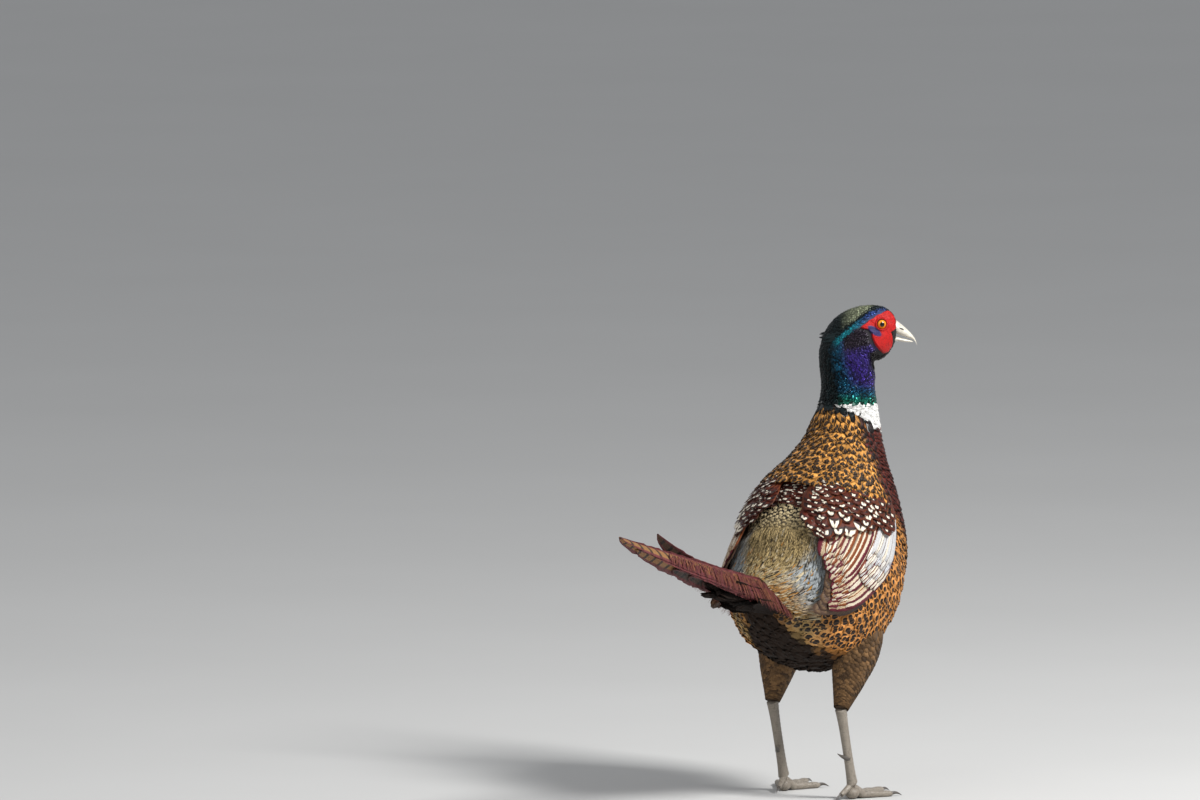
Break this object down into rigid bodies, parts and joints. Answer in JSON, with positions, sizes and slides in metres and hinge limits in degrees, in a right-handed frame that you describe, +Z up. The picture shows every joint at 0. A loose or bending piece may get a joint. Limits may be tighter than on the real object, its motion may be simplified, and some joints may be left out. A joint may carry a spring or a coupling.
{
  "type": "common pheasant",
  "caption": "Life-size still model of a male ring-necked pheasant standing alert, its head turned to its right and its long pointed tail held back and up.",
  "frame": {"origin": "on the floor under the middle of the bird's bounding box", "axes": "+X is the way the body faces, -Y its right side, +Z up"},
  "size_m": [0.6098, 0.1602, 0.4476],
  "materials": {
    "body_feathers": "copper-maroon and golden body feathers with black edges",
    "rump_feathers": "hair-like slate-blue and olive feathers",
    "white_feathers": "matt white neck ring",
    "neck_feathers": "iridescent blue, purple and green",
    "head_feathers": "iridescent bronze-green crown and dark cheeks",
    "bill": "smooth ivory horn",
    "tail_feathers": "buff-brown with dark bars and purplish fringes",
    "eye": "glossy orange iris with a black pupil",
    "wattle": "bare red skin with fine dark-tipped papillae",
    "wing_feathers": "chestnut, cream and silver-grey flight feathers and coverts",
    "flank_feathers": "golden-orange with black spots",
    "leg_scales": "grey-brown scutes, satin",
    "claw_horn": "dark horn, satin"
  },
  "bodies": {
    "root": {"torso": "body_feathers", "rump": "rump_feathers", "neck_ring": "white_feathers", "neck": "neck_feathers", "head": "head_feathers", "bill_upper": "bill", "bill_lower": "bill", "tail": "tail_feathers", "eye_left": "eye", "wattle_left": "wattle", "wing_left": "wing_feathers", "thigh_left": "flank_feathers", "shank_left": "leg_scales", "spur_left": "claw_horn", "foot_left": "leg_scales", "claw_left_middle": "claw_horn", "claw_left_inner": "claw_horn", "claw_left_outer": "claw_horn", "claw_left_hind": "claw_horn", "eye_right": "eye", "wattle_right": "wattle", "wing_right": "wing_feathers", "thigh_right": "flank_feathers", "shank_right": "leg_scales", "spur_right": "claw_horn", "foot_right": "leg_scales", "claw_right_middle": "claw_horn", "claw_right_inner": "claw_horn", "claw_right_outer": "claw_horn", "claw_right_hind": "claw_horn"}
  },
  "joints": []
}
